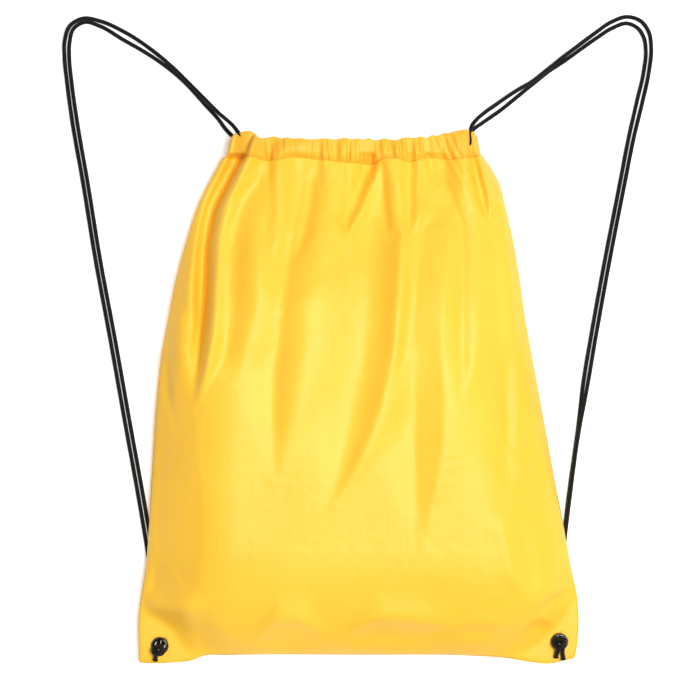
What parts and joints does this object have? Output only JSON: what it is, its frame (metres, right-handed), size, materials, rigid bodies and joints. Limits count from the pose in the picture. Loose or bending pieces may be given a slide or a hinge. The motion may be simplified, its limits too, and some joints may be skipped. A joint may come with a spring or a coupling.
{
  "type": "drawstring backpack",
  "caption": "Soft gathered fabric bag with two closed drawstring cords that run through the mouth casings and form the shoulder straps, tied off at bottom corner eyelets.",
  "frame": {"origin": "middle of the bag's footprint, on the surface that its back panel lies on", "axes": "+Y towards the mouth, +Z out of the front panel, +X to the right seen from the front"},
  "size_m": [0.4562, 0.5006, 0.055],
  "materials": {
    "bag_fabric": "satin woven polyester, golden yellow",
    "thread": "polyester sewing thread, slightly darker than the cloth",
    "cord": "braided polyester cord, matt black",
    "eyelet_enamel": "gloss black enamelled steel"
  },
  "bodies": {
    "bag": {"back_casing": "bag_fabric", "back_casing_stitching": "thread", "back_panel": "bag_fabric", "bottom_seam": "bag_fabric", "bottom_stitching": "thread", "front_casing": "bag_fabric", "front_casing_stitching": "thread", "front_panel": "bag_fabric", "left_corner_patch": "bag_fabric", "left_eyelet_barrel": "eyelet_enamel", "left_eyelet_washer": "eyelet_enamel", "left_knot": "cord", "left_mouth_bartack": "thread", "left_side_seam": "bag_fabric", "left_side_stitching": "thread", "right_corner_patch": "bag_fabric", "right_eyelet_barrel": "eyelet_enamel", "right_eyelet_washer": "eyelet_enamel", "right_knot": "cord", "right_mouth_bartack": "thread", "right_side_seam": "bag_fabric", "right_side_stitching": "thread"},
    "left_cord": {"left_cord_casing_run": "cord", "left_cord_front_strand": "cord", "left_cord_back_strand": "cord"},
    "right_cord": {"right_cord_casing_run": "cord", "right_cord_front_strand": "cord", "right_cord_back_strand": "cord"}
  },
  "joints": [
    {"name": "left_cord_draw", "type": "slide", "parent": "bag", "child": "left_cord", "axis": [-1, 0, 0], "range_m": [0, 0.006], "deforming": ["left_cord_front_strand", "left_cord_back_strand"]},
    {"name": "right_cord_draw", "type": "slide", "parent": "bag", "child": "right_cord", "axis": [1, 0, 0], "range_m": [0, 0.006], "deforming": ["right_cord_front_strand", "right_cord_back_strand"]}
  ]
}
